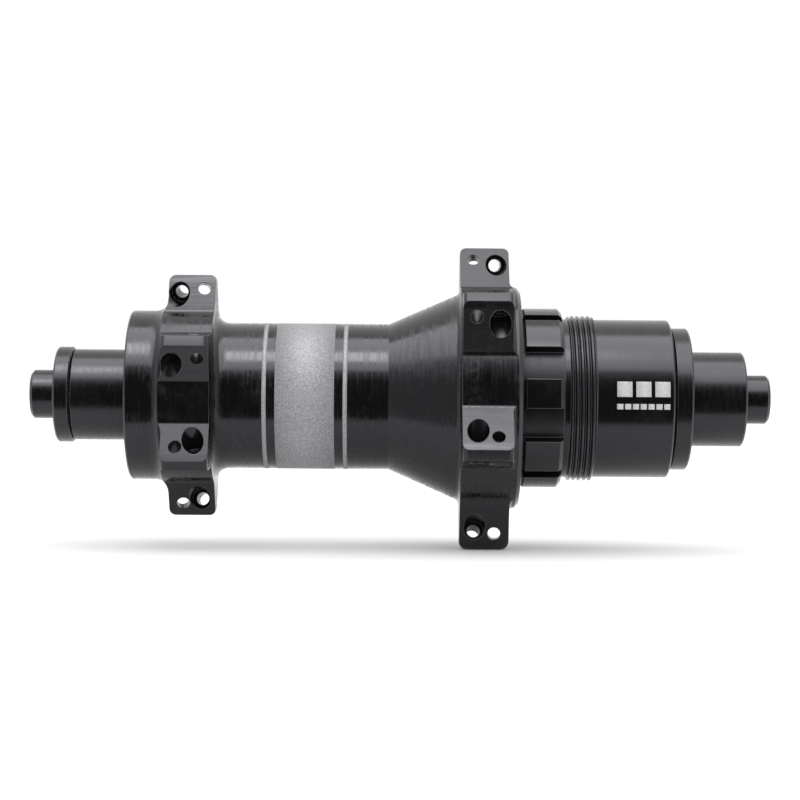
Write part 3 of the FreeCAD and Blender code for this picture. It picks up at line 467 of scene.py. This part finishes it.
def dress(nodes, material):
    """Give CAD nodes a material and smooth shading up to their real edges."""
    for name in nodes:
        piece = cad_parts[name]
        piece.data.materials.clear()
        piece.data.materials.append(material)
        bpy.context.view_layer.objects.active = piece
        piece.select_set(True)
        bpy.ops.object.shade_smooth_by_angle(angle=math.radians(28))
        piece.select_set(False)


def ensure_groups():
    """Build the shared node groups once."""
    fine_lines_group()
    smudges_group()
    soft_edges_group()
    grain_group()


# ---------------------------------------------------------------- printed marks


def band_mesh(name, left, width, radius, ink, start=0.0, end=2 * math.pi, steps=192):
    """A thin closed band that lies on a cylinder about the axle."""
    whole = end - start > 2 * math.pi - 1e-6
    count = steps if whole else steps + 1
    mesh = bpy.data.meshes.new(name)
    shape = bmesh.new()
    rings = []
    for number in range(count):
        angle = start + (end - start) * number / steps
        ring = []
        for station, reach in ((left, radius), (left, radius + ink),
                               (left + width, radius + ink), (left + width, radius)):
            ring.append(shape.verts.new((station, -reach * math.cos(angle), reach * math.sin(angle))))
        rings.append(ring)
    pairs = list(zip(rings, rings[1:]))
    if whole:
        pairs.append((rings[-1], rings[0]))
    for here, there in pairs:
        for corner in range(4):
            nearby = (corner + 1) % 4
            shape.faces.new((here[corner], here[nearby], there[nearby], there[corner]))
    if not whole:
        shape.faces.new(rings[0])
        shape.faces.new(list(reversed(rings[-1])))
    bmesh.ops.recalc_face_normals(shape, faces=shape.faces)
    shape.to_mesh(mesh)
    shape.free()
    for face in mesh.polygons:
        face.use_smooth = True
    made = bpy.data.objects.new(name, mesh)
    bpy.context.scene.collection.objects.link(made)
    return made


# ---------------------------------------------------------------- operators


class HUB_OT_finish_shell(bpy.types.Operator):
    """Finish the hub shell in black anodised aluminium"""

    bl_idname = "hub.finish_shell"
    bl_label = "Hub shell"

    def execute(self, context):
        ensure_groups()
        dress(["hub_shell"], anodised_shell(context.scene.hub_finish))
        return {"FINISHED"}


class HUB_OT_finish_driver(bpy.types.Operator):
    """Finish the driver body: splines, thread and barrel"""

    bl_idname = "hub.finish_driver"
    bl_label = "Driver body"

    def execute(self, context):
        ensure_groups()
        dress(["driver_body"], anodised_driver(context.scene.hub_finish))
        return {"FINISHED"}


class HUB_OT_finish_caps(bpy.types.Operator):
    """Finish the end caps, the left spacer and the driver's dust cover"""

    bl_idname = "hub.finish_caps"
    bl_label = "End caps"

    def execute(self, context):
        ensure_groups()
        dress(["left_end_cap", "right_end_cap", "left_axle_spacer", "driver_dust_cover"],
              anodised_cap(context.scene.hub_finish))
        return {"FINISHED"}


class HUB_OT_finish_axle(bpy.types.Operator):
    """Finish the axle tube, its washer and its spacer tube in bare aluminium"""

    bl_idname = "hub.finish_axle"
    bl_label = "Axle and spacers"

    def execute(self, context):
        ensure_groups()
        look = context.scene.hub_finish
        dress(["axle_tube", "bearing_washer", "driver_spacer_tube"],
              bare_metal("bare_aluminium", look, (0.72, 0.72, 0.74, 1), 0.32, look.tool_pitch))
        dress(["end_cap_o_rings"], moulded("black_rubber", look, look.rubber, 0.5))
        return {"FINISHED"}


class HUB_OT_finish_bearings(bpy.types.Operator):
    """Finish the rings, balls, cages and seals of the four bearings"""

    bl_idname = "hub.finish_bearings"
    bl_label = "Bearings"

    def execute(self, context):
        ensure_groups()
        look = context.scene.hub_finish
        nodes = [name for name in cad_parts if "_bearing_" in name]
        dress([name for name in nodes if name.endswith(("_ring", "_balls"))],
              bare_metal("bearing_steel", look, look.steel, 0.2, look.tool_pitch * 0.5))
        dress([name for name in nodes if name.endswith("_cage")],
              moulded("cage_plastic", look, (0.55, 0.42, 0.22, 1), 0.45))
        dress([name for name in nodes if name.endswith("_seal")],
              moulded("seal_rubber", look, look.rubber, 0.45))
        return {"FINISHED"}


class HUB_OT_finish_ratchet(bpy.types.Operator):
    """Finish the ratchet ring, the pawls, their springs and the driver seal"""

    bl_idname = "hub.finish_ratchet"
    bl_label = "Ratchet and pawls"

    def execute(self, context):
        ensure_groups()
        look = context.scene.hub_finish
        pawls = [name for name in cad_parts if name.startswith("pawl_") and name != "pawl_springs"]
        dress(["ratchet_ring"] + pawls,
              bare_metal("tool_steel", look, (0.36, 0.35, 0.35, 1), 0.3, look.tool_pitch))
        dress(["pawl_springs"],
              bare_metal("spring_steel", look, (0.3, 0.32, 0.4, 1), 0.25, look.tool_pitch * 0.5))
        dress(["driver_seal"], moulded("lip_rubber", look, look.rubber, 0.5))
        return {"FINISHED"}


class HUB_OT_print_marks(bpy.types.Operator):
    """Print a plain silver band with two lines on the tube, and plain white blocks on the barrel"""

    bl_idname = "hub.print_marks"
    bl_label = "Printed marks"

    # blocks in the row, half their height and their middle, both as turns about the axle in radians
    barrel_rows = ((3, 0.095, 0.115), (7, 0.034, -0.1))
    block_space = 0.2
    block_steps = 12

    def execute(self, context):
        ensure_groups()
        look = context.scene.hub_finish
        marks = context.scene.hub_print
        silver = printed_ink("printed_silver", look, look.print_silver, 0.25, 0.62, 0.2 * MM)
        white = printed_ink("printed_white", look, look.print_white, 0.0, 0.45, 0.1 * MM)
        gap = 2 * marks.line_width
        spans = (
            ("tube_line_left", marks.band_left, marks.line_width),
            ("tube_band", marks.band_left + marks.line_width + gap, marks.band_width),
            ("tube_line_right", marks.band_left + marks.line_width + 2 * gap + marks.band_width,
             marks.line_width),
        )
        for name, left, width in spans:
            band = band_mesh(name, left, width, TUBE_RADIUS, marks.ink)
            self.keep(band, silver, "shell", "anodised_shell")
        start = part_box("driver_body")[1].x - marks.blocks_reach
        for row, (count, height, middle) in enumerate(self.barrel_rows, start=1):
            pitch = marks.blocks_width / (count - self.block_space)
            for number in range(count):
                mark = band_mesh(f"barrel_block_{row}_{number + 1}", start + number * pitch,
                                 pitch * (1 - self.block_space), BARREL_RADIUS, marks.ink,
                                 middle - height, middle + height, self.block_steps)
                self.keep(mark, white, "driver", "anodised_driver")
        return {"FINISHED"}

    @staticmethod
    def keep(piece, material, body, slot):
        """Give a mark its ink and its body."""
        piece.data.materials.append(material)
        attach(piece, body)


class HUB_OT_place_camera(bpy.types.Operator):
    """Place the camera square to the axle and a little below it"""

    bl_idname = "hub.place_camera"
    bl_label = "Camera"

    def execute(self, context):
        studio = context.scene.hub_studio
        data = bpy.data.cameras.new("hub_camera")
        data.lens = studio.lens
        data.sensor_width = 36
        data.clip_start = 0.01
        data.clip_end = 50
        camera = bpy.data.objects.new("hub_camera", data)
        context.scene.collection.objects.link(camera)
        level = Matrix.Rotation(math.radians(90), 4, "X")
        tilt = Matrix.Rotation(studio.roll, 4, "Z")
        camera.matrix_world = Matrix.Translation((0, -studio.distance, -studio.drop)) @ level @ tilt
        context.scene.camera = camera
        return {"FINISHED"}


class HUB_OT_build_stage(bpy.types.Operator):
    """Build the plain pale floor, the soft lights and the surrounding studio"""

    bl_idname = "hub.build_stage"
    bl_label = "Stage"

    floor_reach = 20.0
    floor_front = -0.045
    opening_fade = math.radians(4)
    opening_sides = (0.55, 0.8)
    opening_glow = 0.02
    paper_glow = 1.45
    light_distance = 0.9

    def execute(self, context):
        studio = context.scene.hub_studio
        self.floor(context, studio)
        self.area_light(context, "strip_light", offset=-0.12, elevation=65, length=0.42, depth=0.26,
                        radiance=studio.strip_radiance)
        self.area_light(context, "soft_box", offset=0, elevation=72, length=1.6, depth=1.1,
                        radiance=studio.box_radiance)
        self.surroundings(context, studio)
        context.scene.view_settings.view_transform = "Standard"
        return {"FINISHED"}

    def floor(self, context, studio):
        """A wide plain floor that the lowest lugs touch."""
        mesh = bpy.data.meshes.new("floor")
        reach = self.floor_reach
        level = CAD_BOX[0].z
        front = self.floor_front
        corners = [(-reach, front, level), (reach, front, level), (reach, reach, level),
                   (-reach, reach, level)]
        mesh.from_pydata(corners, [], [(0, 1, 2, 3)])
        floor = bpy.data.objects.new("floor", mesh)
        context.scene.collection.objects.link(floor)
        paint = Surface("floor_paper")
        grain = grouped(paint.tree, "grain", Place=paint.place, Size=1.5 * MM)["Grain"]
        paint.set(Base_Color=studio.floor, Roughness=mottled(paint.tree, grain, 0.8, 0.9),
                  Specular_IOR_Level=0.1)
        mesh.materials.append(paint.material)

    def area_light(self, context, name, offset, elevation, length, depth, radiance):
        """A long light over the axle, at an elevation above the camera's horizon.

        It shows in the gloss only; the even light on the floor is the studio's.
        """
        data = bpy.data.lights.new(name, "AREA")
        data.shape = "RECTANGLE"
        data.size = length
        data.size_y = depth
        data.energy = radiance * math.pi * length * depth
        light = bpy.data.objects.new(name, data)
        context.scene.collection.objects.link(light)
        angle = math.radians(elevation)
        way = Vector((0, -math.cos(angle), math.sin(angle)))
        light.location = way * self.light_distance + Vector((offset, 0, 0))
        light.rotation_euler = (math.pi / 2 - angle, 0, 0)
        light.visible_diffuse = False

    def surroundings(self, context, studio):
        """White walls all round, with a dark opening on the camera's side."""
        world = bpy.data.worlds.new("studio")
        context.scene.world = world
        world.use_nodes = True
        tree = world.node_tree
        tree.nodes.clear()
        way = add(tree, "ShaderNodeTexCoord").outputs["Generated"]
        split = add(tree, "ShaderNodeSeparateXYZ", {"Vector": way}).outputs
        front = sums(tree, "MULTIPLY", split["Y"], -1.0)
        rise = sums(tree, "ARCTAN2", split["Z"], front)
        top, bottom, fade = studio.opening_top, studio.opening_bottom, self.opening_fade
        below_top = spread(tree, rise, top - fade, top + fade, 1.0, 0.0)
        above_bottom = spread(tree, rise, bottom - fade, bottom + fade)
        between = spread(tree, sums(tree, "ABSOLUTE", split["X"]), *self.opening_sides, 1.0, 0.0)
        opening = sums(tree, "MULTIPLY", sums(tree, "MULTIPLY", below_top, above_bottom), between)
        side = spread(tree, front, 0.0, 0.8, 1.0, 0.5)
        level = sums(tree, "MULTIPLY", side, spread(tree, opening, 0, 1, 1.0, self.opening_glow))
        path = add(tree, "ShaderNodeLightPath").outputs
        lit = add(tree, "ShaderNodeMix", {0: path["Is Diffuse Ray"], 2: level,
                                          3: self.paper_glow}).outputs[0]
        strength = add(tree, "ShaderNodeMix", {0: path["Is Camera Ray"], 2: lit, 3: 1.0}).outputs[0]
        glow = add(tree, "ShaderNodeBackground", {"Color": (1, 1, 1, 1), "Strength": strength})
        output = add(tree, "ShaderNodeOutputWorld")
        tree.links.new(glow.outputs[0], output.inputs["Surface"])


class HUB_PT_panel(bpy.types.Panel):
    """Buttons for each piece of the hub and for the studio"""

    bl_idname = "HUB_PT_panel"
    bl_label = "Rear Hub"
    bl_space_type = "VIEW_3D"
    bl_region_type = "UI"
    bl_category = "Rear Hub"

    def draw(self, context):
        for operator in OPERATORS:
            self.layout.operator(operator.bl_idname)
        for group in ("hub_finish", "hub_print", "hub_studio"):
            settings = getattr(context.scene, group)
            column = self.layout.column(align=True)
            for name in settings.__annotations__:
                column.prop(settings, name)


OPERATORS = (
    HUB_OT_place_camera,
    HUB_OT_finish_shell,
    HUB_OT_finish_driver,
    HUB_OT_finish_caps,
    HUB_OT_finish_axle,
    HUB_OT_finish_bearings,
    HUB_OT_finish_ratchet,
    HUB_OT_print_marks,
    HUB_OT_build_stage,
)
GROUPS = (HubFinish, HubPrint, HubStudio)


def register():
    """Register the classes and hang the settings on the scene."""
    for item in GROUPS + OPERATORS + (HUB_PT_panel,):
        bpy.utils.register_class(item)
    bpy.types.Scene.hub_finish = bpy.props.PointerProperty(type=HubFinish)
    bpy.types.Scene.hub_print = bpy.props.PointerProperty(type=HubPrint)
    bpy.types.Scene.hub_studio = bpy.props.PointerProperty(type=HubStudio)


def unregister():
    """Take the settings and the classes away again."""
    del bpy.types.Scene.hub_studio
    del bpy.types.Scene.hub_print
    del bpy.types.Scene.hub_finish
    for item in reversed(GROUPS + OPERATORS + (HUB_PT_panel,)):
        bpy.utils.unregister_class(item)


def main():
    """Make the whole hub and its studio."""
    register()
    for operator in OPERATORS:
        family, name = operator.bl_idname.split(".")
        getattr(getattr(bpy.ops, family), name)()


if __name__ == "__main__":
    main()
